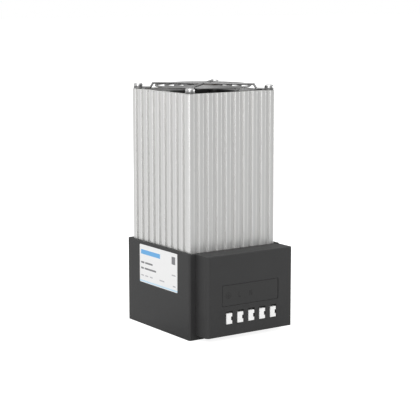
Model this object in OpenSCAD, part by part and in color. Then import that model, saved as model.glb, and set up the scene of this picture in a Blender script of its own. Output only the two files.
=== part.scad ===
/* [Base housing] */
// Width of the air duct, the size of the fan's square frame
duct_w = 80; // [76:0.5:92]
// Height of the base's rim
base_h = 67; // [62:0.1:80]
// Wall thickness of the base
base_wall = 1.8; // [1.8:0.1:2.8]
// Room in front of the fan
front_room = 2.2; // [1.6:0.1:4]
// Room behind the fan
back_room = 3.4; // [1.6:0.1:5]
// Rounding of the base's upright corners
base_corner_r = 1.5; // [1:0.1:2.4]
// Height of the lip inside the rim that steadies the casing
rim_lip_h = 4; // [2:0.1:4.6]

/* [Terminal box] */
// How far the terminal box stands out of the base's front
box_reach = 15.6; // [14:0.1:22]
// Distance from the base's left side to the box's left side
box_inset = 5.5; // [3:0.1:10]
// Height of the box's underside above the ground
box_floor_z = 3.8; // [2:0.1:5]
// Step from the base's rim down to the box's top
box_step = 0.6; // [0.4:0.1:2.4]
// Rounding of the box's left front corner
box_corner_r = 3.4; // [1:0.1:4]
// Chamfer along the box's crisp edges
box_chamfer = 0.5; // [0.2:0.1:1]

/* [Terminals] */
// Spacing of the terminals
terminal_pitch = 10.35; // [9.8:0.05:11]
// Middle of the terminal row, to the right of the base's middle
terminal_x = 3.85; // [2:0.05:6]
// Height of the pushers' middle
terminal_z = 17.15; // [15:0.05:19]
// Width of a pusher's face
pusher_w = 5.2; // [5:0.1:6.4]
// Height of a pusher's face
pusher_h = 8.1; // [7:0.1:9]
// Width of the notch that lets the wire past the pusher
notch_w = 1; // [0.8:0.1:1.6]
// Height of the notch
notch_h = 3; // [2:0.1:4]
// How far a pusher stands out of the box's front
pusher_proud = 0.3; // [0:0.1:1]
// Travel of a pusher when it is pressed
pusher_travel = 2; // [1:0.1:2.5]
// Length of the pusher behind the front wall
pusher_stem = 5; // [4:0.1:6]
// Gap beside and below a pusher in its window
window_gap = 0.4; // [0.35:0.05:0.6]
// Room above a pusher in its window
window_room_top = 1.6; // [1:0.1:2]
// Room for the wire to the right of a pusher
window_room_wire = 0.7; // [0.5:0.1:1.6]
// Height of the terminal block above the pushers
block_cap = 5.7; // [3:0.1:7]
// Diameter of a wire entry
wire_entry_d = 1.7; // [1.5:0.1:2]

/* [Marking plate and label] */
// Width of the marking plate above the terminals
plate_w = 52; // [40:0.5:60]
// Height of the marking plate
plate_h = 15.8; // [10:0.1:18]
// Thickness of the marking plate
plate_t = 1.2; // [0.8:0.1:1.3]
// Middle of the plate, to the right of the base's middle
plate_x = 3.15; // [1:0.05:5]
// Distance from the terminal windows up to the plate
plate_lift = 4.35; // [2:0.05:8]
// Gap round the plate
plate_gap = 0.25; // [0.2:0.05:0.6]
// Gap at the plate's right end, where a blade lifts it out
plate_end_gap = 0.6; // [0.3:0.05:1]
// Length of the label on the left side
label_w = 54.5; // [40:0.5:70]
// Height of the label
label_h = 30.4; // [20:0.2:32]
// Thickness of the label
label_t = 0.25; // [0.1:0.05:0.4]
// Distance from the rim down to the label
label_drop = 2.6; // [2:0.1:10]

/* [Casing] */
// Height of the casing's top above the ground
casing_top = 186.6; // [150:0.1:230]
// How far the casing stands out beyond the fan's frame on each side
casing_over = 0.4; // [0:0.05:0.6]
// How far the casing reaches down into the base
casing_sink = 8.2; // [8:0.1:12]
// Number of grooves on each side
groove_count = 9; // [5:2:9]
// Width of the plain strip beside each upright corner
end_land = 5.3; // [4:0.1:8]
// Width of a groove
groove_w = 3.8; // [2:0.1:4]
// Depth of a groove
groove_depth = 1.5; // [1.3:0.1:1.6]
// Rounding of the edges beside a groove
land_r = 0.55; // [0.2:0.05:1.2]
// Wall left under a groove
casing_wall = 2; // [1.6:0.1:2.6]
// Rounding of the casing's upright corners
casing_corner_r = 1.8; // [0.8:0.1:2.4]
// Radius of the screw columns in the corners
column_r = 5.2; // [4.6:0.1:6]

/* [Heating core] */
// Number of fins along the core
fin_count = 13; // [7:2:13]
// Gap between the outermost fins and the casing's rails
fin_clear = 2.05; // [1:0.05:6]
// Thickness of a fin
fin_t = 1.1; // [0.8:0.1:1.5]
// Gap between the fins' tips and the casing
air_gap = 6.6; // [5:0.1:15]
// Thickness of the web that slides in the casing's rails
web_t = 3; // [2.4:0.1:4]
// Wall of the flat tube round the heating bar
tube_wall = 2.6; // [2:0.1:3.5]
// Width of the heating bar
bar_w = 25.2; // [20:0.1:28]
// Thickness of the heating bar
bar_t = 5.8; // [4.5:0.1:7]
// Space below the core, above the casing's lower end
core_lift = 10; // [9:0.5:16]
// Space above the core, below the casing's top
core_drop = 10; // [6:0.5:20]
// Thickness of the casing's inner rails
rail_rib_t = 1.6; // [1.2:0.1:2]
// Depth of the casing's inner rails
rail_rib_d = 4; // [3:0.1:4.4]
// Diameter of a lead's insulation
lead_d = 2; // [1.4:0.1:2.2]

/* [Fan] */
// Height of the fan's frame
fan_h = 38; // [36:0.5:40]
// Narrowest width of the fan's frame beside its round duct
fan_rim = 2.25; // [2:0.05:4]
// Wall of the fan's duct between its flanges
fan_duct_wall = 1.8; // [1.4:0.1:1.9]
// Thickness of the fan's flanges
flange_t = 4; // [3:0.1:5]
// Diameter of the hub and of the motor plate
hub_d = 36; // [32:0.5:40]
// Number of blades
blade_count = 7; // [5:1:7]
// Thickness of a blade
blade_t = 1.4; // [1:0.1:2]
// Chord of a blade
blade_chord = 23; // [16:0.5:24]
// Pitch of the blades against the plane of turning
blade_pitch = 36; // [25:1:40]
// Gap between the blades' tips and the duct
tip_gap = 1; // [0.8:0.1:2]
// Diameter of the fan's shaft
shaft_d = 4; // [3:0.1:5]
// Outside diameter of the shaft's bearings
bearing_d = 9; // [8:0.1:10]

/* [Intake grille] */
// Height of the grille's underside above the ground
grille_z = 3; // [2.8:0.1:4]
// Thickness of the grille
grille_t = 2.4; // [1.6:0.1:3]
// Radius of the closed middle of the grille
grille_hub_r = 6.75; // [4:0.25:12]
// Width of the bars between the slots
slot_bar = 2; // [1.4:0.1:3]
// Number of ring-shaped slots
slot_count = 5; // [3:1:5]

/* [Finger guard and screws] */
// Distance from the casing's sides to the corner screws' axes
fix_inset = 3.25; // [3:0.05:4.5]
// Diameter of the support wires
wire_d = 1.7; // [1.4:0.1:2.2]
// Diameter of the ring wires
ring_wire_d = 1.5; // [1.2:0.1:2]
// Radius of the outermost ring
guard_r = 37; // [34:0.5:38]
// Number of rings
ring_count = 5; // [3:1:5]
// Radius of the innermost ring
ring_min_r = 7; // [4:0.5:10]
// Rise of the support wires above their feet
guard_rise = 3.5; // [3:0.1:6]
// Length of a support wire's foot beside its eye
foot_l = 7; // [2:0.1:9]
// Diameter of the corner screws
screw_d = 3.4; // [3:0.1:3.5]
// Diameter of the screws' heads
head_d = 7.2; // [6:0.1:7.4]
// Height of the screws' heads
head_h = 2.2; // [1.8:0.1:2.7]
// Length of thread in the casing's columns
screw_grip = 10; // [6:0.5:20]

/* [Rail clip] */
// Width of the mounting rail that the clip takes
rail_w = 35; // [35:0.1:35.6]
// Thickness of the rail's flanges
rail_t = 1; // [1:0.1:1.5]
// Width of the clip along the rail
clip_w = 26; // [18:0.5:40]
// Thickness of the clip's back plate
clip_plate_t = 3; // [2.5:0.1:5]
// Thickness of the clip's hooks behind the rail
clip_hook_t = 3; // [2:0.1:5]
// How far a hook reaches over the rail's flange
clip_hook_reach = 2.4; // [1.5:0.1:3]
// Length of the clip's spring loop below the rail
clip_spring_l = 17; // [12:0.5:24]
// Thickness of the clip's spring loop
clip_spring_t = 1.6; // [1.2:0.1:2]

/* [Hidden] */
$fn = 48;
// Gap between pieces that rest on each other, and between pieces that slide
seat = 0.1;
slide_gap = 0.3;
// Gap of a shaft in its bearing, and of a pressed shaft in its hub
run_gap = 0.05;
press_gap = 0.02;
// Overshoot of a cut past the face that it opens
over = 1;

// Base and box
casing_w = duct_w + 2 * casing_over;
fan_w = duct_w;
base_w = casing_w + 2 * (slide_gap + base_wall);
base_d = duct_w + front_room + back_room + 2 * base_wall;
base_y = (back_room - front_room) / 2;
fix_pitch = duct_w - 2 * fix_inset;
base_front = base_y - base_d / 2;
box_top_z = base_h - box_step;
box_front = base_front - box_reach;
box_left = -base_w / 2 + box_inset;
box_right = base_w / 2;
cavity_w = base_w - 2 * base_wall;
cavity_d = base_d - 2 * base_wall;
socket_w = casing_w + 2 * slide_gap;
box_floor_in = box_floor_z + base_wall;
box_front_in = box_front + base_wall;

// Upright stack: grille, posts, fan, casing
casing_z = base_h - casing_sink;
fan_top = casing_z - seat;
fan_z = fan_top - fan_h;
post_z = grille_z + grille_t + seat;
screw_hole_d = screw_d + 2 * slide_gap;
channel_d = screw_d + 2 * run_gap;

// Casing and core
casing_in = casing_w - 2 * (groove_depth + casing_wall);
groove_pitch = (casing_w - 2 * end_land - groove_w) / (groove_count - 1);
fin_pitch = (casing_in - 2 * (rail_rib_d + fin_clear) - fin_t) / (fin_count - 1);
fin_reach = casing_in / 2 - air_gap;
core_z = casing_z + core_lift;
core_h = casing_top - core_drop - core_z;
tube_w = bar_w + 2 * seat + 2 * tube_wall;
tube_d = bar_t + 2 * seat + 2 * tube_wall;
tube_r = 2;
bar_drop = 3;
bar_r = 0.6;
cutout_size = [9, 7, 5];
cutout_r = 1.5;
cutout_gap = 1;
lead_notch_w = 14;

// Terminals
terminal_count = 5;
block_w = terminal_count * terminal_pitch;
block_front = box_front_in + seat;
block_z = box_floor_in + seat;
block_top = terminal_z + pusher_h / 2 + block_cap;
window_top = terminal_z + pusher_h / 2 + window_room_top;
pusher_y = box_front - pusher_proud;
pusher_l = pusher_proud + base_wall + pusher_stem;
collar = 1.2;
collar_t = 1.5;
spring_t = 0.6;
pocket_end = pusher_y + pusher_l + pusher_travel + slide_gap + spring_t + seat;
contact_l = 3;
block_back_wall = 2;
block_back = pocket_end + contact_l + seat + block_back_wall;
ledge_t = 1.6;
ledge_d = 5;

// Marking plate and label
plate_z = window_top + plate_lift + plate_h / 2;
plate_r = 0.6;
label_z = base_h - label_drop - label_h / 2;
label_r = 1;
label_sink = 0.1;
label_bed = label_sink + label_t + run_gap;

// Leads
lead_bend = 3;
lead_x = 4;
lead_y = (block_front + block_back) / 2;
lead_lift = 1.7;
lead_z = casing_z + lead_d / 2 + lead_lift;

// Fan and grille
fan_bore = fan_w - 2 * fan_rim;
slot_pitch = (fan_bore / 2 - grille_hub_r + slot_bar) / slot_count;
spoke_w = 3;
fan_corner_r = 3;
rotor_gap = 1;
motor_plate_t = 3;
strut_w = 4;
strut_turn = 20;
hub_z = fan_z + motor_plate_t + rotor_gap;
hub_top = fan_top - 2 * rotor_gap;
hub_wall = 1.6;
hub_cap_t = 2;
boss_h = 11;
boss_wall = 2.5;
boss_z = hub_top - boss_h;
shaft_top = hub_top - hub_cap_t / 2;
bearing_tube_d = bearing_d + 4;
bearing_tube_top = boss_z - rotor_gap;
bearing_t = 4;
stator_h = 14;
stator_slot_r = 2;
camber_r = 32;

// Guard
ring_pitch = (guard_r - ring_min_r) / (ring_count - 1);
foot_z = casing_top + seat + wire_d / 2;
top_wire_z = foot_z + guard_rise;
weld_sink = 0.3;
// How much a wire is thicker in its bends
bend_over = 0.04;
ring_z = top_wire_z - (wire_d + ring_wire_d) / 2 + weld_sink;
eye_r = (screw_d + wire_d) / 2 + slide_gap;
corner_reach = fix_pitch / 2 * sqrt(2);
guard_run = 2.2;
foot_end = corner_reach - eye_r - foot_l;

// Screws
guard_head_z = foot_z + wire_d / 2 + seat;
head_bevel = 0.7;
recess_w = 1;
recess_l = 0.6 * head_d;
countersink_h = (head_d - screw_d) / 2;
screw_tip = 2;

// Rail clip, measured outward from the casing's back and upward from the rail's middle
clip_gap = 0.3;
clip_reach = clip_plate_t + rail_t + clip_gap + clip_hook_t;
clip_back = casing_w / 2 + seat;
clip_hook_h = 5;
clip_screw_z = 9;
clip_z = (base_h + casing_top) / 2;
clip_heel = 1.4;
clip_nose = 1.6;

// The origin lies under the middle of the overall box, so the duct's axis stands behind it
overall_front = box_front - pusher_proud;
overall_back = clip_back + clip_reach;
axis_y = -(overall_front + overall_back) / 2;

// Colours
plastic_black = [0.09, 0.09, 0.095];
plastic_white = [0.93, 0.93, 0.91];
aluminium = [0.78, 0.78, 0.77];
steel = [0.6, 0.6, 0.62];
brass = [0.75, 0.6, 0.3];

function terminal_at(i) = terminal_x + (i - (terminal_count + 1) / 2) * terminal_pitch;

module placed() {
    translate([0, axis_y, 0])
        children();
}

module at_corners(pitch) {
    for (x = [-1, 1], y = [-1, 1])
        translate([x * pitch / 2, y * pitch / 2, 0])
            children();
}

module rounded_2d(w, d, r) {
    square([w - 2 * r, d], center = true);
    square([w, d - 2 * r], center = true);
    for (x = [-1, 1], y = [-1, 1])
        translate([x * (w / 2 - r), y * (d / 2 - r)])
            circle(r);
}

module rounded_prism(w, d, h, r) {
    linear_extrude(h)
        rounded_2d(w, d, r);
}

// A block from a low corner to a high corner
module block(low, high) {
    translate(low)
        cube(high - low);
}

// A bar of square section turned on edge, to chamfer an edge that runs along X
module edge_cut(length, c) {
    rotate([45, 0, 0])
        cube([length, c * sqrt(2), c * sqrt(2)], center = true);
}

// A round wire from one point to another with rounded ends
module wire(a, b, d) {
    v = b - a;
    l = norm(v);
    translate(a)
        rotate([0, acos(v[2] / l), atan2(v[1], v[0])])
            cylinder(d = d, h = l);
    translate(b)
        sphere(d = d + bend_over);
}

// A quarter bend in the YZ plane: from straight up to straight back
module bend_back(r, d) {
    rotate([90, 0, 90])
        translate([r, 0, 0])
            rotate([0, 0, 90])
                rotate_extrude(angle = 90)
                    translate([r, 0])
                        circle(d = d);
}

// Base housing

module box_plan() {
    difference() {
        translate([box_left, box_front])
            square([box_right - box_left, box_reach + base_wall]);
        translate([box_left, box_front])
            difference() {
                translate([-over, -over])
                    square(box_corner_r + over);
                translate([box_corner_r, box_corner_r])
                    circle(box_corner_r);
            }
    }
}

module box_edge_cuts() {
    length = 2 * base_w;
    for (z = [box_floor_z, box_top_z])
        translate([0, box_front, z])
            edge_cut(length, box_chamfer);
    translate([box_right, box_front, 0])
        rotate([0, 90, 0])
            edge_cut(2 * base_h, box_chamfer);
}

module terminal_window(i) {
    x = terminal_at(i);
    block([x - pusher_w / 2 - window_gap, box_front - over, terminal_z - pusher_h / 2 - window_gap],
        [x + pusher_w / 2 + window_room_wire, box_front_in + over, window_top]);
}

module base_cavity() {
    // the fan's room, open at the bottom
    translate([0, base_y, -over])
        linear_extrude(base_h - rim_lip_h + over)
            square([cavity_w, cavity_d], center = true);
    // the socket for the casing
    linear_extrude(base_h + over)
        square(socket_w, center = true);
    // the front of the rim, level with the box's top
    block([-cavity_w / 2, base_front - over, box_top_z], [cavity_w / 2, 0, base_h + over]);
    // the box's room, open to the fan's room
    block([box_left + base_wall, box_front_in, box_floor_in],
        [box_right - base_wall, base_front + 2 * base_wall, box_top_z - base_wall]);
}

// The corner posts that carry the fan, grown out of the walls
module base_posts() {
    near = fix_pitch / 2 - column_r;
    far = cavity_d / 2 + seat;
    for (x = [0, 1])
        mirror([x, 0, 0]) {
            block([near, near, post_z], [cavity_w / 2 + seat, base_y + far, fan_z - seat]);
            block([near, base_y - far, post_z], [cavity_w / 2 + seat, -near, fan_z - seat]);
        }
}

module base_housing() {
    color(plastic_black)
        difference() {
            union() {
                difference() {
                    union() {
                        translate([0, base_y, 0])
                            rounded_prism(base_w, base_d, base_h, base_corner_r);
                        translate([0, 0, box_floor_z])
                            linear_extrude(box_top_z - box_floor_z)
                                box_plan();
                    }
                    base_cavity();
                }
                base_posts();
                // the ledge that keeps the terminal block down
                block([terminal_x - block_w / 2, box_front_in - seat, block_top + seat],
                    [terminal_x + block_w / 2, box_front_in + ledge_d, block_top + seat + ledge_t]);
            }
            box_edge_cuts();
            for (i = [1 : terminal_count])
                terminal_window(i);
            // the recess for the marking plate
            block([plate_x - plate_w / 2 - plate_gap, box_front - over, plate_z - plate_h / 2 - plate_gap],
                [plate_x + plate_w / 2 + plate_end_gap, box_front + plate_t + seat,
                    plate_z + plate_h / 2 + plate_gap]);
            // the shallow bed of the label
            block([-base_w / 2 - over, -label_w / 2 - seat, label_z - label_h / 2 - seat],
                [-base_w / 2 + label_bed, label_w / 2 + seat, label_z + label_h / 2 + seat]);
            at_corners(fix_pitch)
                cylinder(d = screw_hole_d, h = base_h);
        }
}

module intake_grille() {
    w = cavity_w - 2 * slide_gap;
    d = cavity_d - 2 * slide_gap;
    color(plastic_black)
        translate([0, 0, grille_z])
            difference() {
                translate([0, base_y, 0])
                    rounded_prism(w, d, grille_t, base_corner_r / 2);
                translate([0, 0, -over])
                    linear_extrude(grille_t + 2 * over)
                        grille_slots_2d();
                at_corners(fix_pitch)
                    translate([0, 0, -over])
                        cylinder(d = screw_hole_d, h = grille_t + 2 * over);
            }
}

module grille_slots_2d() {
    outer = fan_bore / 2;
    difference() {
        for (k = [0 : slot_count - 1])
            difference() {
                circle(outer - k * slot_pitch, $fn = 96);
                circle(outer - (k + 1) * slot_pitch + slot_bar, $fn = 96);
            }
        for (a = [0 : 60 : 120])
            rotate(a)
                square([2 * fan_bore, spoke_w], center = true);
    }
}

// Marking plate and label

module marking_plate() {
    color(plastic_black)
        translate([plate_x, box_front + plate_t, plate_z])
            rotate([90, 0, 0])
                rounded_prism(plate_w, plate_h, plate_t, plate_r);
}

module rating_label() {
    color(plastic_white)
        translate([-base_w / 2 + label_sink, 0, label_z])
            rotate([90, 0, 90])
                rounded_prism(label_w, label_h, label_t, label_r);
}

// Terminals

module terminal_block() {
    color([0.13, 0.13, 0.14])
        difference() {
            block([terminal_x - block_w / 2, block_front, block_z],
                [terminal_x + block_w / 2, block_back, block_top]);
            for (i = [1 : terminal_count]) {
                pusher_pocket(terminal_at(i));
                wire_entry(terminal_at(i));
            }
        }
}

module pusher_pocket(x) {
    side = pusher_w / 2 + slide_gap;
    rise = pusher_h / 2 + slide_gap;
    block([x - side - collar, block_front - over, terminal_z - rise - collar],
        [x + side, pocket_end, terminal_z + rise]);
}

module wire_entry(x) {
    translate([wire_x(x), block_front - over, terminal_z])
        rotate([-90, 0, 0])
            cylinder(d = wire_entry_d, h = pocket_end - block_front + over);
    // the room of the contact behind the wire entry
    block([wire_x(x) - wire_entry_d / 2, pocket_end - over, terminal_z - notch_h / 2],
        [wire_x(x) + wire_entry_d / 2, pocket_end + contact_l + seat, terminal_z + notch_h / 2]);
}

function wire_x(x) = x + pusher_w / 2 - notch_w + wire_entry_d / 2 + seat;

module terminal_pusher(i) {
    x = terminal_at(i);
    low_z = terminal_z - pusher_h / 2;
    high_z = terminal_z + pusher_h / 2;
    collar_y = block_front + seat;
    color(plastic_white)
        difference() {
            union() {
                block([x - pusher_w / 2, pusher_y, low_z],
                    [x + pusher_w / 2, pusher_y + pusher_l, high_z]);
                // the collar that stops the pusher behind the front wall
                block([x - pusher_w / 2 - collar, collar_y, low_z - collar],
                    [x + pusher_w / 2, collar_y + collar_t, high_z]);
            }
            // the notch that lets the wire past
            block([x + pusher_w / 2 - notch_w, pusher_y - over, terminal_z - notch_h / 2],
                [x + pusher_w / 2 + over, pusher_y + pusher_l + over, terminal_z + notch_h / 2]);
        }
}

module clamp_springs() {
    color(steel)
        for (i = [1 : terminal_count]) {
            x = terminal_at(i);
            block([x - pusher_w / 2, pocket_end - seat - spring_t, terminal_z - pusher_h / 2],
                [x + pusher_w / 2 - notch_w, pocket_end - seat, terminal_z + pusher_h / 2]);
        }
}

module terminal_contacts() {
    color(brass)
        for (i = [1 : terminal_count]) {
            x = wire_x(terminal_at(i));
            block([x - wire_entry_d / 2 + seat, pocket_end + seat, terminal_z - notch_h / 2 + seat],
                [x + wire_entry_d / 2 - seat, pocket_end + contact_l, terminal_z + notch_h / 2 - seat]);
        }
}

// Casing and heating core

module groove_2d() {
    translate([-groove_w / 2, -groove_depth])
        square([groove_w, groove_depth + over]);
    // the rounded edges of the lands on both sides
    for (s = [0, 1])
        mirror([s, 0])
            translate([groove_w / 2, 0])
                difference() {
                    translate([-seat, -land_r])
                        square([land_r + seat, land_r + over]);
                    translate([land_r, -land_r])
                        circle(land_r, $fn = 24);
                }
}

module casing_2d() {
    difference() {
        rounded_2d(casing_w, casing_w, casing_corner_r);
        for (side = [0 : 3], k = [0 : groove_count - 1])
            rotate(90 * side)
                translate([(k - (groove_count - 1) / 2) * groove_pitch, casing_w / 2])
                    groove_2d();
        difference() {
            square(casing_in, center = true);
            for (x = [-1, 1], y = [-1, 1])
                translate([x * fix_pitch / 2, y * fix_pitch / 2])
                    circle(column_r);
            // rails that hold the core's web
            for (x = [0, 1], y = [0, 1])
                mirror([x, 0])
                    mirror([0, y])
                        translate([casing_in / 2 - rail_rib_d, web_t / 2 + slide_gap])
                            square([rail_rib_d + seat, rail_rib_t]);
        }
        for (x = [-1, 1], y = [-1, 1])
            translate([x * fix_pitch / 2, y * fix_pitch / 2])
                circle(d = channel_d);
    }
}

module casing_profile() {
    color(aluminium)
        difference() {
            translate([0, 0, casing_z])
                linear_extrude(casing_top - casing_z)
                    casing_2d();
            // the leads' way in, hidden behind the rim
            block([-lead_notch_w / 2, -casing_w / 2 - over, casing_z - over],
                [lead_notch_w / 2, -casing_in / 2 + over, lead_z + lead_d / 2 + slide_gap]);
            rail_clip_holes(channel_d, casing_w / 2 + over, casing_in / 2 - over);
        }
}

// Holes for the rail clip's screws, from an outer to an inner distance
module rail_clip_holes(d, outer, inner) {
    for (s = [-1, 1])
        translate([0, outer, clip_z + s * clip_screw_z])
            rotate([90, 0, 0])
                cylinder(d = d, h = outer - inner);
}

module core_2d() {
    difference() {
        union() {
            square([casing_in - 2 * slide_gap, web_t], center = true);
            rounded_2d(tube_w, tube_d, tube_r);
            for (k = [0 : fin_count - 1])
                translate([(k - (fin_count - 1) / 2) * fin_pitch, 0]) {
                    square([fin_t, 2 * fin_reach], center = true);
                    for (s = [-1, 1])
                        translate([0, s * fin_reach])
                            circle(d = fin_t, $fn = 16);
                }
        }
        square([bar_w + 2 * seat, bar_t + 2 * seat], center = true);
    }
}

module heating_core() {
    color(aluminium)
        translate([0, 0, core_z])
            linear_extrude(core_h)
                core_2d();
}

module heating_bar() {
    color([0.72, 0.42, 0.12])
        translate([0, 0, core_z - bar_drop])
            rounded_prism(bar_w, bar_t, core_h + bar_drop, bar_r);
}

module thermal_cutout() {
    color([0.2, 0.2, 0.22])
        translate([tube_w / 2 + cutout_gap + cutout_size[0] / 2, 0, core_z - seat - cutout_size[2]])
            rounded_prism(cutout_size[0], cutout_size[1], cutout_size[2], cutout_r);
}

module heater_leads() {
    bar_z = core_z - bar_drop - seat;
    color([0.75, 0.72, 0.68])
        for (x = [-lead_x, lead_x]) {
            translate([x, lead_y, block_top + seat])
                cylinder(d = lead_d, h = lead_z - lead_bend - block_top - seat);
            translate([x, lead_y, lead_z - lead_bend])
                bend_back(lead_bend, lead_d);
            translate([x, lead_y + lead_bend, lead_z])
                rotate([-90, 0, 0])
                    cylinder(d = lead_d, h = -lead_y - 2 * lead_bend);
            translate([x, 0, lead_z + lead_bend])
                rotate([180, 0, 0])
                    bend_back(lead_bend, lead_d);
            translate([x, 0, lead_z + lead_bend])
                cylinder(d = lead_d, h = bar_z - lead_z - lead_bend);
        }
}

module fan_leads() {
    from_y = block_back + seat;
    to_y = -fan_w / 2 - seat;
    color([0.15, 0.15, 0.16])
        for (x = [-lead_x, lead_x])
            translate([x, from_y, fan_z + flange_t / 2])
                rotate([-90, 0, 0])
                    cylinder(d = lead_d, h = to_y - from_y);
}

// Fan

module fan_frame() {
    color(plastic_black)
        difference() {
            union() {
                difference() {
                    union() {
                        for (z = [fan_z, fan_top - flange_t])
                            translate([0, 0, z])
                                rounded_prism(fan_w, fan_w, flange_t, fan_corner_r);
                        translate([0, 0, fan_z])
                            cylinder(d = fan_bore + 2 * fan_duct_wall, h = fan_h, $fn = 96);
                    }
                    translate([0, 0, fan_z - over])
                        cylinder(d = fan_bore, h = fan_h + 2 * over, $fn = 96);
                }
                // the motor plate on its struts, with the bearing tube
                translate([0, 0, fan_z])
                    cylinder(d = hub_d, h = motor_plate_t);
                for (a = [0 : 90 : 270])
                    rotate(a + strut_turn)
                        block([hub_d / 2 - over, -strut_w / 2, fan_z],
                            [(fan_bore + fan_duct_wall) / 2, strut_w / 2, fan_z + motor_plate_t]);
                translate([0, 0, fan_z])
                    cylinder(d = bearing_tube_d, h = bearing_tube_top - fan_z);
            }
            translate([0, 0, fan_z + motor_plate_t / 2])
                cylinder(d = bearing_d + 2 * run_gap, h = fan_h);
            at_corners(fix_pitch)
                translate([0, 0, fan_z - over])
                    cylinder(d = screw_hole_d, h = fan_h + 2 * over);
        }
}

module fan_stator() {
    outer = hub_d / 2 - hub_wall - rotor_gap;
    color([0.45, 0.4, 0.36])
        translate([0, 0, fan_z + motor_plate_t + seat])
            difference() {
                cylinder(r = outer, h = stator_h);
                translate([0, 0, -over])
                    cylinder(d = bearing_tube_d + 2 * run_gap, h = stator_h + 2 * over);
                // the slots between the stator's poles
                for (a = [0 : 60 : 300])
                    rotate(a)
                        translate([outer, 0, -over])
                            cylinder(r = stator_slot_r, h = stator_h + 2 * over);
            }
}

module fan_bearings() {
    low = fan_z + motor_plate_t / 2 + seat;
    high = bearing_tube_top - bearing_t;
    color(steel)
        for (z = [low, high])
            translate([0, 0, z])
                difference() {
                    cylinder(d = bearing_d, h = bearing_t);
                    translate([0, 0, -over])
                        cylinder(d = shaft_d + 2 * run_gap, h = bearing_t + 2 * over);
                }
}

module blade_2d() {
    intersection() {
        translate([0, -camber_r])
            difference() {
                circle(camber_r + blade_t / 2, $fn = 96);
                circle(camber_r - blade_t / 2, $fn = 96);
            }
        square([blade_chord, camber_r], center = true);
    }
}

// The blades, trimmed to the duct and ended inside the hub's wall
module fan_blades() {
    hub_h = hub_top - hub_z;
    difference() {
        intersection() {
            for (k = [0 : blade_count - 1])
                rotate(k * 360 / blade_count)
                    translate([0, 0, hub_z + hub_h / 2])
                        rotate([90, 0, 90])
                            linear_extrude(fan_bore)
                                rotate(blade_pitch)
                                    blade_2d();
            translate([0, 0, hub_z])
                cylinder(r = fan_bore / 2 - tip_gap, h = hub_h, $fn = 96);
        }
        translate([0, 0, hub_z - over])
            cylinder(d = hub_d - hub_wall, h = hub_h + 2 * over);
    }
}

module fan_rotor() {
    color([0.12, 0.12, 0.125])
        difference() {
            union() {
                difference() {
                    translate([0, 0, hub_z])
                        cylinder(d = hub_d, h = hub_top - hub_z);
                    translate([0, 0, hub_z - over])
                        cylinder(d = hub_d - 2 * hub_wall, h = hub_top - hub_cap_t - hub_z + over);
                }
                translate([0, 0, boss_z])
                    cylinder(d = shaft_d + 2 * boss_wall, h = boss_h);
                fan_blades();
            }
            translate([0, 0, boss_z - over])
                cylinder(d = shaft_d + 2 * press_gap, h = shaft_top - boss_z + over);
        }
}

module fan_shaft() {
    low = fan_z + motor_plate_t / 2 + slide_gap;
    color(steel)
        translate([0, 0, low])
            cylinder(d = shaft_d, h = shaft_top - press_gap - low);
}

// Finger guard and screws

module support_wire() {
    eye = [corner_reach - eye_r, 0, foot_z];
    knee = [foot_end, 0, foot_z];
    shoulder = [foot_end - guard_run, 0, top_wire_z];
    wire(eye, knee, wire_d);
    wire(knee, shoulder, wire_d);
    wire(shoulder, [0, 0, top_wire_z], wire_d);
    translate([corner_reach, 0, foot_z])
        rotate_extrude()
            translate([eye_r, 0])
                circle(d = wire_d);
}

module finger_guard() {
    color([0.72, 0.72, 0.73])
        union() {
            for (a = [45 : 90 : 315])
                rotate(a)
                    support_wire();
            for (k = [0 : ring_count - 1])
                translate([0, 0, ring_z])
                    rotate_extrude($fn = 96)
                        translate([guard_r - k * ring_pitch, 0])
                            circle(d = ring_wire_d);
        }
}

// The cross recess of a screw whose head ends at z = 0
module cross_recess() {
    for (a = [0, 90])
        rotate(a)
            cube([recess_l, recess_w, 2 * recess_w], center = true);
}

// A pan-head screw with its head above z = 0 and its shank below
module pan_screw(length) {
    difference() {
        union() {
            cylinder(d = head_d, h = head_h - head_bevel);
            translate([0, 0, head_h - head_bevel])
                cylinder(d1 = head_d, d2 = head_d - 2 * head_bevel, h = head_bevel);
            translate([0, 0, -length])
                cylinder(d = screw_d, h = length);
        }
        translate([0, 0, head_h])
            cross_recess();
    }
}

module guard_screws() {
    color(steel)
        at_corners(fix_pitch)
            translate([0, 0, guard_head_z])
                pan_screw(guard_head_z - casing_top + screw_grip);
}

module base_screws() {
    head_z = grille_z - seat;
    color(steel)
        at_corners(fix_pitch)
            translate([0, 0, head_z])
                rotate([180, 0, 0])
                    pan_screw(casing_z + screw_grip - head_z);
}

// Rail clip

module rail_clip_2d() {
    half = rail_w / 2 + clip_gap;
    lip_at = clip_plate_t + rail_t + clip_gap;
    loop_in = clip_reach - 2 * clip_spring_t;
    loop_z = -half - clip_spring_l;
    difference() {
        union() {
            // the back plate
            translate([0, -half])
                square([clip_plate_t, 2 * half + clip_hook_h]);
            // the fixed hook over the rail's upper flange
            translate([0, half])
                square([clip_reach, clip_hook_h]);
            translate([lip_at, half - clip_hook_reach])
                square([clip_hook_t, clip_hook_reach + over]);
            // the sprung hook under the rail's lower flange
            translate([clip_reach - clip_spring_t - clip_heel, -half - clip_hook_h])
                square([clip_spring_t + clip_heel, clip_hook_h]);
            translate([lip_at, -half - over])
                square([clip_hook_t, clip_hook_reach + over]);
            // the spring loop from the plate down and back up to the hook
            translate([0, loop_z])
                square([clip_spring_t, clip_spring_l + over]);
            translate([clip_reach - clip_spring_t, loop_z])
                square([clip_spring_t, clip_spring_l]);
            translate([clip_reach / 2, loop_z])
                difference() {
                    circle(d = clip_reach);
                    circle(d = loop_in);
                    translate([-clip_reach, 0])
                        square(2 * clip_reach);
                }
        }
        // the sloped nose that rides over the rail
        translate([clip_reach, -half + clip_hook_reach])
            rotate(45)
                square(clip_nose, center = true);
    }
}

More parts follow.
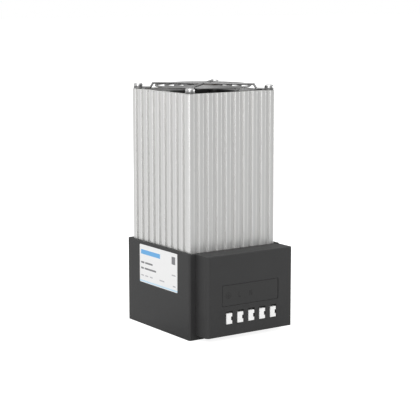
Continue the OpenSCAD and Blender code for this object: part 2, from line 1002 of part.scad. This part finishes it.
module rail_clip() {
    color(plastic_black)
        difference() {
            translate([-clip_w / 2, clip_back, clip_z])
                rotate([90, 0, 90])
                    linear_extrude(clip_w)
                        rail_clip_2d();
            rail_clip_holes(screw_hole_d, clip_back + clip_plate_t + over, clip_back - over);
            for (s = [-1, 1])
                translate([0, clip_back + clip_plate_t, clip_z + s * clip_screw_z])
                    rotate([90, 0, 0])
                        countersink(head_d + 2 * slide_gap);
        }
}

// The cone of a countersunk head, sinking along +Z from its full width
module countersink(d) {
    translate([0, 0, -over])
        cylinder(d = d, h = over);
    cylinder(d1 = d, d2 = d - 2 * countersink_h, h = countersink_h);
}

module rail_clip_screws() {
    length = clip_plate_t + groove_depth + casing_wall + screw_tip;
    color(steel)
        for (s = [-1, 1])
            translate([0, clip_back + clip_plate_t, clip_z + s * clip_screw_z])
                rotate([90, 0, 0])
                    difference() {
                        union() {
                            cylinder(d1 = head_d, d2 = screw_d, h = countersink_h);
                            cylinder(d = screw_d, h = length);
                        }
                        cross_recess();
                    }
}

placed() base_housing();
placed() intake_grille();
placed() marking_plate();
placed() rating_label();
placed() terminal_block();
placed() terminal_pusher(1);  // terminal_pusher_1
placed() terminal_pusher(2);  // terminal_pusher_2
placed() terminal_pusher(3);  // terminal_pusher_3
placed() terminal_pusher(4);  // terminal_pusher_4
placed() terminal_pusher(5);  // terminal_pusher_5
placed() clamp_springs();
placed() terminal_contacts();
placed() casing_profile();
placed() heating_core();
placed() heating_bar();
placed() thermal_cutout();
placed() heater_leads();
placed() fan_leads();
placed() fan_frame();
placed() fan_stator();
placed() fan_bearings();
placed() fan_rotor();
placed() fan_shaft();
placed() finger_guard();
placed() guard_screws();
placed() base_screws();
placed() rail_clip();
placed() rail_clip_screws();
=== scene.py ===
"""The looks of the enclosure heater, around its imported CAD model."""

import math

import bmesh
import bpy
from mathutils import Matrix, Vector


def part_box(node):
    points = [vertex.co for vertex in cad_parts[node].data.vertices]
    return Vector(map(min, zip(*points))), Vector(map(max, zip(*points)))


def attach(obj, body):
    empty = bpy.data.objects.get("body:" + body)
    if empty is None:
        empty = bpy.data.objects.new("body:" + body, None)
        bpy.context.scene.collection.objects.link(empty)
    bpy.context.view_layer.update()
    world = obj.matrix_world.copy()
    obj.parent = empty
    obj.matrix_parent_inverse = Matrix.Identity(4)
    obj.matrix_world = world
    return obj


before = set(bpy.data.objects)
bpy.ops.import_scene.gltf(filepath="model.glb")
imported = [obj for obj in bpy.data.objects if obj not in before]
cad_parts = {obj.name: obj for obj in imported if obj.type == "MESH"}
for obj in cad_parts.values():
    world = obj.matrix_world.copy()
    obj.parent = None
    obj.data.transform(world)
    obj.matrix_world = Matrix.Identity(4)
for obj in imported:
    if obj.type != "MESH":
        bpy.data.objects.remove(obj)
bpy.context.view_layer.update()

MM = 0.001
# The duct's axis lies this far behind the frame's origin.
DUCT_Y = 6.05 * MM
RIB_PITCH = 8.3 * MM


# Shader expressions


class Value:
    """A socket in a finish's node tree, which Python's operators work on."""

    def __init__(self, finish, socket):
        self.finish = finish
        self.socket = socket

    def math(self, operation, *operands):
        sockets = dict(enumerate(operands))
        return self.finish.node("ShaderNodeMath", {"operation": operation}, sockets)[0]

    def __add__(self, other):
        return self.math("ADD", self, other)

    def __radd__(self, other):
        return self.math("ADD", other, self)

    def __sub__(self, other):
        return self.math("SUBTRACT", self, other)

    def __rsub__(self, other):
        return self.math("SUBTRACT", other, self)

    def __mul__(self, other):
        return self.math("MULTIPLY", self, other)

    def __rmul__(self, other):
        return self.math("MULTIPLY", other, self)

    def __lt__(self, other):
        return self.math("LESS_THAN", self, other)

    def __gt__(self, other):
        return self.math("GREATER_THAN", self, other)

    def __abs__(self):
        return self.math("ABSOLUTE", self)

    def at_least(self, other):
        return self.math("MAXIMUM", self, other)

    def at_most(self, other):
        return self.math("MINIMUM", self, other)

    def folded(self, length):
        """Back and forth between 0 and length."""
        return self.math("PINGPONG", self, length)

    def ramp(self, low, high):
        """0 below low, 1 above high, smooth between."""
        return self.finish.node(
            "ShaderNodeMapRange", {"interpolation_type": "SMOOTHSTEP"},
            {"Value": self, "From Min": low, "From Max": high})["Result"]


class Outputs:
    """The outputs of a node, each taken as a Value by its name or place."""

    def __init__(self, finish, made):
        self.finish = finish
        self.made = made

    def __getitem__(self, key):
        return Value(self.finish, self.made.outputs[key])


class Finish:
    """The node tree of one surface's material, or of the world where that is given as its owner."""

    def __init__(self, name, tree_owner=None):
        self.material = tree_owner or bpy.data.materials.new(name)
        self.material.use_nodes = True
        self.tree = self.material.node_tree
        self.tree.nodes.clear()

    def node(self, kind, settings=None, inputs=None):
        made = self.tree.nodes.new(kind)
        for key, value in (settings or {}).items():
            setattr(made, key, value)
        for key, value in (inputs or {}).items():
            if isinstance(value, Value):
                self.tree.links.new(value.socket, made.inputs[key])
            else:
                made.inputs[key].default_value = value
        return Outputs(self, made)

    def point(self, stretch):
        """The place on the object in metres, each axis multiplied by its stretch."""
        place = self.node("ShaderNodeTexCoord")["Object"]
        return self.node("ShaderNodeVectorMath", {"operation": "MULTIPLY"}, {0: place, 1: stretch})[0]

    def axes(self):
        """The place on the object as X, Y and Z, in metres."""
        parts = self.node("ShaderNodeSeparateXYZ", None, {0: self.node("ShaderNodeTexCoord")["Object"]})
        return parts[0], parts[1], parts[2]

    def grain(self, size, detail=2.0, roughness=0.5, stretch=(1, 1, 1)):
        """Noise from 0 to 1 whose features are about size long, in metres."""
        sockets = {"Vector": self.point(stretch), "Scale": 1 / size, "Detail": detail, "Roughness": roughness}
        return self.node("ShaderNodeTexNoise", None, sockets)["Fac"]

    def between(self, mask, first, second):
        """The first colour where the mask is 0, the second where it is 1."""
        return self.node("ShaderNodeMix", {"data_type": "RGBA"}, {0: mask, 6: first, 7: second})[2]

    def relief(self, height, depth, strength):
        """The normal of a surface raised by up to depth, in metres, where height is 1."""
        sockets = {"Height": height, "Distance": depth, "Strength": strength}
        return self.node("ShaderNodeBump", None, sockets)[0]

    def surface(self, sockets):
        shader = self.node("ShaderNodeBsdfPrincipled", None, sockets)
        self.show(shader[0])
        return self.material

    def show(self, shader, output="ShaderNodeOutputMaterial"):
        self.node(output, None, {"Surface": shader})


def colour(level, warm=0.0):
    """A near grey of that linear level, with a little less blue above zero and more below."""
    return (level, level, level * (1 - warm), 1.0)


# Finishes


def eroded_black(name, tone, rough, grain_size):
    """Moulded black plastic with a spark-eroded skin."""
    f = Finish(name)
    skin = f.grain(grain_size, detail=3.0, roughness=0.6)
    cloud = f.grain(16 * MM, detail=4.0)
    rubbed = f.grain(45 * MM, detail=2.0).ramp(0.5, 0.75)
    tint = f.between(cloud, colour(tone * 0.9, -0.02), colour(tone * 1.12, -0.01))
    return f.surface({
        "Base Color": tint,
        "Roughness": rough + 0.16 * (skin - 0.5) + 0.06 * (cloud - 0.5) - 0.04 * rubbed,
        "IOR": 1.48,
        "Normal": f.relief(skin, depth=0.03 * MM, strength=0.6),
    })


def smooth_plastic(name, tone, rough, warm=0.0):
    """Moulded plastic with a fine satin skin."""
    f = Finish(name)
    skin = f.grain(0.22 * MM, detail=2.0)
    cloud = f.grain(7 * MM, detail=3.0)
    return f.surface({
        "Base Color": f.between(cloud, colour(tone * 0.97, warm), colour(tone * 1.02, warm)),
        "Roughness": rough + 0.1 * (skin - 0.5) + 0.08 * (cloud - 0.5),
        "IOR": 1.5,
        "Normal": f.relief(skin, depth=0.01 * MM, strength=0.5),
    })


def drawn_aluminium(name, tone, rough):
    """Anodised extrusion: drawing lines along Z, a painted highlight on the rib edges and corners, and painted
    shade in the duct with painted light near its rim.
    """
    f = Finish(name)
    x, y, z = f.axes()
    lines = f.grain(0.4 * MM, detail=4.0, roughness=0.6, stretch=(1, 1, 0.0015))
    bands = f.grain(3.2 * MM, detail=2.0, stretch=(1, 1, 0.004))
    cloud = f.grain(30 * MM, detail=3.0)
    across = abs(x)
    along = abs(y - DUCT_Y)
    outward = across.at_least(along)
    sideways = across.at_most(along)

    # Painted shade: the duct's inner walls, outside the corner screw columns, are coloured dark, with painted
    # light on them near the rim.
    duct_half = 37.0 * MM
    column_r = 5.4 * MM
    column_x = across - duct_half
    column_y = along - duct_half
    in_duct = (outward < duct_half) * (column_x * column_x + column_y * column_y > column_r ** 2)
    painted_light_near_rim = z.ramp(182.6 * MM, 184.6 * MM)

    # Painted highlight: the outer rib edges and the corners get a lighter, smoother colour where light catches
    # them.
    land_level = 39.5 * MM
    from_groove = sideways.folded(RIB_PITCH / 2)
    rib_edge_highlight = from_groove.ramp(1.75 * MM, 2.0 * MM) * (1 - from_groove.ramp(2.4 * MM, 3.3 * MM))
    corner_highlight = sideways.ramp(39.0 * MM, 39.6 * MM)
    painted_highlight = (outward > land_level) * rib_edge_highlight.at_least(corner_highlight)

    anodised = f.between(lines * 0.6 + bands * 0.4, colour(tone * 0.96, 0.018), colour(tone * 1.03, 0.012))
    # Lighter colour here is the painted highlight on rib edges and corners.
    outside = f.between(painted_highlight, anodised, colour(tone * 1.17, 0.012))
    # Dark colour is painted shade deep in the duct; the lighter colour is painted light near the rim.
    painted_duct_shade = f.between(painted_light_near_rim, colour(0.06), colour(0.8))
    uneven = 0.1 * (lines - 0.5) + 0.06 * (bands - 0.5) + 0.06 * (cloud - 0.5)
    return f.surface({
        "Base Color": f.between(in_duct, outside, painted_duct_shade),
        "Metallic": 0.65,
        "Roughness": rough + uneven - 0.04 * painted_highlight,
        "Normal": f.relief(lines, depth=0.012 * MM, strength=0.3),
    })


def bright_metal(name, tone, rough, warm=0.0, stretch=(1, 1, 1)):
    """Plated or ground metal with faint handling marks."""
    f = Finish(name)
    fine = f.grain(0.3 * MM, detail=3.0, stretch=stretch)
    stain = f.grain(4 * MM, detail=3.0)
    return f.surface({
        "Base Color": f.between(stain, colour(tone * 0.9, warm), colour(tone * 1.05, warm)),
        "Metallic": 1.0,
        "Roughness": rough + 0.14 * (fine - 0.5) + 0.12 * (stain - 0.5),
        "Normal": f.relief(fine, depth=0.008 * MM, strength=0.5),
    })


def label_film(name, tone):
    """White printed film: almost smooth, with a faint wave from being pressed on."""
    f = Finish(name)
    wave = f.grain(9 * MM, detail=2.0)
    fibre = f.grain(0.3 * MM, detail=2.0)
    return f.surface({
        "Base Color": f.between(wave, colour(tone * 0.985), colour(tone)),
        "Roughness": 0.42 + 0.1 * (fibre - 0.5) + 0.06 * (wave - 0.5),
        "Normal": f.relief(wave, depth=0.02 * MM, strength=0.4),
    })


def ink(name, rgb, rough=0.5):
    """Printed ink with a slightly uneven cover."""
    f = Finish(name)
    cover = f.grain(0.5 * MM, detail=3.0)
    light = tuple(c + 0.04 * (1 - c) for c in rgb)
    return f.surface({
        "Base Color": f.between(cover, (*rgb, 1.0), (*light, 1.0)),
        "Roughness": rough + 0.12 * (cover - 0.5),
        "Normal": f.relief(cover, depth=0.004 * MM, strength=0.4),
    })


def insulating_film(name, rgb):
    """Thin amber film, wrapped in turns."""
    f = Finish(name)
    wrap = f.grain(6 * MM, detail=2.0, stretch=(0.2, 0.2, 1))
    return f.surface({
        "Base Color": f.between(wrap, (*rgb, 1.0), (*(c * 0.8 for c in rgb), 1.0)),
        "Roughness": 0.3 + 0.1 * (wrap - 0.5),
        "Coat Weight": 0.3 * wrap,
        "Normal": f.relief(wrap, depth=0.05 * MM, strength=0.4),
    })


# Added pieces


def prism(bm, outline, low, high, place):
    """A closed prism on a flat outline; place turns (u, v, depth) into a point. Returns its faces."""
    bottom = [bm.verts.new(place(u, v, low)) for u, v in outline]
    top = [bm.verts.new(place(u, v, high)) for u, v in outline]
    faces = [bm.faces.new(top), bm.faces.new(bottom[::-1])]
    count = len(outline)
    for k in range(count):
        after = (k + 1) % count
        faces.append(bm.faces.new((bottom[k], bottom[after], top[after], top[k])))
    return faces


def ring_prism(bm, outer, inner, low, high, place):
    """A closed ring between two outlines of as many points."""
    count = len(outer)
    rows = [[bm.verts.new(place(u, v, d)) for u, v in line]
            for line, d in ((outer, high), (outer, low), (inner, low), (inner, high))]
    for k in range(count):
        after = (k + 1) % count
        for a, b in zip(rows, rows[1:] + rows[:1]):
            bm.faces.new((a[k], b[k], b[after], a[after]))


def finished(bm, name, materials, body):
    """Makes the piece of that mesh and lets it ride on a body."""
    mesh = bpy.data.meshes.new(name)
    bmesh.ops.recalc_face_normals(bm, faces=bm.faces)
    bm.to_mesh(mesh)
    bm.free()
    made = bpy.data.objects.new(name, mesh)
    bpy.context.scene.collection.objects.link(made)
    for material in materials:
        mesh.materials.append(material)
    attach(made, body)


def rectangle(low_u, low_v, high_u, high_v):
    return [(low_u, low_v), (high_u, low_v), (high_u, high_v), (low_u, high_v)]


def circle(r, count=40):
    turn = 2 * math.pi / count
    return [(r * math.cos(k * turn), r * math.sin(k * turn)) for k in range(count)]


def terminal_signs(material):
    """Earth, live and neutral, printed on the marking plate above their terminals."""
    low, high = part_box("marking_plate")
    face_y = low.y
    middle_z = (low.z + high.z) / 2
    half = 2.2 * MM
    stroke = 0.6 * MM
    proud = 0.04 * MM
    sunk = -0.03 * MM
    bm = bmesh.new()

    def above_terminal(n):
        near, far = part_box("terminal_pusher_%d" % n)
        x = (near.x + far.x) / 2
        return lambda u, v, d: Vector((x + u, face_y - d, middle_z + v))

    def stamp(outline, place):
        prism(bm, outline, sunk, proud, place)

    earth = above_terminal(1)
    ring_r = 2.5 * MM
    ring_stroke = 0.4 * MM
    ring_prism(bm, circle(ring_r), circle(ring_r - ring_stroke), sunk, proud, earth)
    stem_top = 1.6 * MM
    arm = 1.4 * MM
    arm_v = -0.1 * MM
    bar = stroke / 2
    stamp([(-bar, stem_top), (-bar, arm_v + bar), (-arm, arm_v + bar), (-arm, arm_v - bar),
           (arm, arm_v - bar), (arm, arm_v + bar), (bar, arm_v + bar), (bar, stem_top)], earth)
    for drop, reach in ((0.8 * MM, 0.9 * MM), (1.6 * MM, 0.45 * MM)):
        stamp(rectangle(-reach, arm_v - drop - bar, reach, arm_v - drop + bar), earth)

    live = above_terminal(2)
    wide = 0.95 * MM
    stamp([(-wide, half), (-wide, -half), (wide, -half), (wide, -half + stroke),
           (-wide + stroke, -half + stroke), (-wide + stroke, half)], live)

    neutral = above_terminal(3)
    wide = 1.25 * MM
    slope = 0.72 * MM
    notch = half - 1.2 * MM
    stamp([(-wide, half), (-wide, -half), (-wide + stroke, -half), (-wide + stroke, notch),
           (wide - slope, -half), (wide, -half), (wide, half), (wide - stroke, half),
           (wide - stroke, -notch), (-wide + slope, half)], neutral)
    finished(bm, "terminal_signs", [material], "heater")


def label_print(materials):
    """Plain fields of print on the label: a colour field, lines of data, a grey block and a tinted foot."""
    low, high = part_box("rating_label")
    face_x = low.x
    proud = 0.02 * MM
    sunk = -0.03 * MM
    bm = bmesh.new()

    def place(u, v, d):
        return Vector((face_x - d, high.y - u, high.z - v))

    wide = high.y - low.y
    tall = high.z - low.z
    head, data, pale, foot = range(4)
    # Left, top, right and bottom of each field, in mm from the label's upper left corner, and its ink.
    fields = [
        (2.0, 4.0, 30.0, 7.6, head),
        (2.0, 13.6, 7.0, 15.0, data),
        (8.2, 13.6, 19.0, 15.0, data),
        (2.0, 18.2, 6.0, 19.6, data),
        (7.2, 18.2, 24.0, 19.6, data),
        (2.0, 24.2, 6.0, 25.2, pale),
        (8.0, 24.2, 12.5, 25.2, pale),
        (15.0, 24.2, 19.0, 25.2, pale),
        (29.0, 24.2, 36.0, 25.2, pale),
        (46.5, 3.0, 51.5, 9.0, data),
        (46.5, 17.0, 52.0, 18.0, pale),
        (48.0, 25.6, 52.0, 26.6, pale),
        (0.0, tall / MM - 1.7, wide / MM, tall / MM - 0.5, foot),
    ]
    for u0, v0, u1, v1, kind in fields:
        edge = 0.02 * MM if kind == foot else 0
        box = rectangle(u0 * MM + edge, v0 * MM, u1 * MM - edge, v1 * MM)
        for face in prism(bm, box, sunk, proud, place):
            face.material_index = kind
    finished(bm, "label_print", materials, "heater")


def dress(material, *nodes):
    """Gives CAD nodes their finish."""
    for name in nodes:
        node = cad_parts[name]
        node.data.materials.clear()
        node.data.materials.append(material)


along_z = (1, 1, 0.02)
in_layers = (1, 1, 6)
dress(eroded_black("housing_black", tone=0.03, rough=0.58, grain_size=0.32 * MM),
      "base_housing", "rail_clip", "intake_grille")
dress(smooth_plastic("plate_black", tone=0.029, rough=0.55), "marking_plate")
dress(label_film("label_white", tone=0.9), "rating_label")
dress(smooth_plastic("block_grey", tone=0.012, rough=0.6), "terminal_block")
dress(smooth_plastic("pusher_white", tone=0.94, rough=0.4, warm=0.004),
      *["terminal_pusher_%d" % n for n in range(1, 6)])
dress(bright_metal("spring_steel", tone=0.5, rough=0.3), "clamp_springs")
dress(bright_metal("contact_brass", tone=0.5, rough=0.32, warm=0.5), "terminal_contacts")
dress(drawn_aluminium("casing_anodised", tone=0.69, rough=0.32), "casing_profile")
dress(bright_metal("core_mill_finish", tone=0.4, rough=0.45, stretch=along_z), "heating_core")
dress(insulating_film("bar_amber_film", rgb=(0.45, 0.2, 0.04)), "heating_bar")
dress(smooth_plastic("cutout_shell", tone=0.05, rough=0.45), "thermal_cutout")
dress(smooth_plastic("lead_silicone", tone=0.5, rough=0.6, warm=0.03), "heater_leads", "fan_leads")
dress(smooth_plastic("fan_black", tone=0.02, rough=0.42), "fan_frame", "fan_rotor")
dress(bright_metal("stator_laminations", tone=0.25, rough=0.5, warm=0.15, stretch=in_layers), "fan_stator")
dress(bright_metal("bearing_steel", tone=0.6, rough=0.25), "fan_bearings", "fan_shaft")
dress(bright_metal("guard_nickel", tone=0.3, rough=0.3), "finger_guard")
dress(bright_metal("screw_zinc", tone=0.62, rough=0.17), "guard_screws", "base_screws", "rail_clip_screws")

terminal_signs(ink("sign_black", (0.004, 0.004, 0.004), rough=0.75))
label_print([ink("head_blue", (0.13, 0.42, 0.78)), ink("data_grey", (0.2, 0.2, 0.21)),
             ink("pale_grey", (0.5, 0.5, 0.52)), ink("foot_tint", (0.55, 0.76, 0.92))])


# Stage: floor, surroundings, lamps and camera


def seen_level(f, camera, mirrored, light):
    """The level for the camera, for reflections and refractions, and for the light on the object."""
    path = f.node("ShaderNodeLightPath")
    reflects = path["Is Glossy Ray"].at_least(path["Is Transmission Ray"])
    return light + (camera - light) * path["Is Camera Ray"] + (mirrored - light) * reflects


def toward(f, direction, low, high):
    """1 where the stage lies in that direction from the object, 0 beside it; low and high are cosines."""
    place = f.node("ShaderNodeTexCoord")["Object"]
    unit = f.node("ShaderNodeVectorMath", {"operation": "NORMALIZE"}, {0: place})[0]
    along = f.node("ShaderNodeVectorMath", {"operation": "DOT_PRODUCT"}, {0: unit, 1: direction})["Value"]
    return along.ramp(low, high)


def studio_glow(f):
    """Walls behind the object's left side and on its right, and a ceiling, which only reflections see."""
    left_back_wall = 0.34 * toward(f, (-0.57, 0.82, 0), low=0.3, high=0.95)
    right_wall = 0.55 * toward(f, (1, -0.1, 0), low=0.75, high=0.97)
    ceiling = 0.45 * toward(f, (0, 0, 1), low=0.5, high=0.95)
    return left_back_wall + right_wall + ceiling


def pale_floor():
    """A floor that the camera sees white; it lights nothing and takes the object's shadow."""
    f = Finish("floor_white")
    level = seen_level(f, camera=0.86, mirrored=studio_glow(f), light=0.0)
    glow = f.node("ShaderNodeEmission", None, {"Color": (1, 1, 1, 1), "Strength": level})
    matt = f.node("ShaderNodeBsdfDiffuse", None, {"Color": (0.5, 0.5, 0.5, 1)})
    f.show(f.node("ShaderNodeAddShader", None, {0: glow[0], 1: matt[0]})[0])
    f.material.cycles.emission_sampling = "NONE"
    mesh = bpy.data.meshes.new("floor")
    bm = bmesh.new()
    bmesh.ops.create_grid(bm, x_segments=1, y_segments=1, size=12.0)
    bm.to_mesh(mesh)
    bm.free()
    mesh.materials.append(f.material)
    floor = bpy.data.objects.new("floor", mesh)
    below_foot = 0.1 * MM
    floor.location.z = -below_foot
    bpy.context.scene.collection.objects.link(floor)


def surroundings(mirrored, light):
    """An even white studio. Neither it nor the floor is sampled as a lamp, so the ribs' lines stay straight."""
    world = bpy.data.worlds.new("studio")
    world.cycles.sampling_method = "NONE"
    bpy.context.scene.world = world
    f = Finish("studio", world)
    level = seen_level(f, camera=1.0, mirrored=mirrored + studio_glow(f), light=light)
    f.show(f.node("ShaderNodeBackground", None, {"Color": (1, 1, 1, 1), "Strength": level})[0],
           "ShaderNodeOutputWorld")


def soft_lamp(name, place, size, power):
    """A round lamp of that diameter, turned to the object's middle."""
    target = Vector((0, 0, 0.1))
    lamp = bpy.data.lights.new(name, "AREA")
    lamp.shape = "DISK"
    lamp.size = size
    lamp.energy = power
    made = bpy.data.objects.new(name, lamp)
    made.location = place
    made.rotation_mode = "QUATERNION"
    made.rotation_quaternion = (target - Vector(place)).to_track_quat("-Z", "Y")
    bpy.context.scene.collection.objects.link(made)


def photo_camera():
    """The camera that was fitted to the photograph's edges."""
    eye = (-0.58839, DUCT_Y - 0.86354, 0.25942)
    forward = Vector((0.56014, 0.81298, -0.15907))
    data = bpy.data.cameras.new("photo_camera")
    data.sensor_width = 36
    data.lens = 114.6
    data.clip_start = 0.01
    data.clip_end = 100
    made = bpy.data.objects.new("photo_camera", data)
    made.location = eye
    made.rotation_mode = "QUATERNION"
    made.rotation_quaternion = forward.to_track_quat("-Z", "Y")
    bpy.context.scene.collection.objects.link(made)
    bpy.context.scene.camera = made


pale_floor()
surroundings(mirrored=0.5, light=1.0)
soft_lamp("left_lamp", (-1.3, -1.3, 0.5), size=1.6, power=12.5)
soft_lamp("right_lamp", (1.6, -0.1, 0.1), size=1.0, power=8)
soft_lamp("top_lamp", (0, 0.1, 1.6), size=1.0, power=3)
photo_camera()
bpy.context.scene.view_settings.view_transform = "Standard"
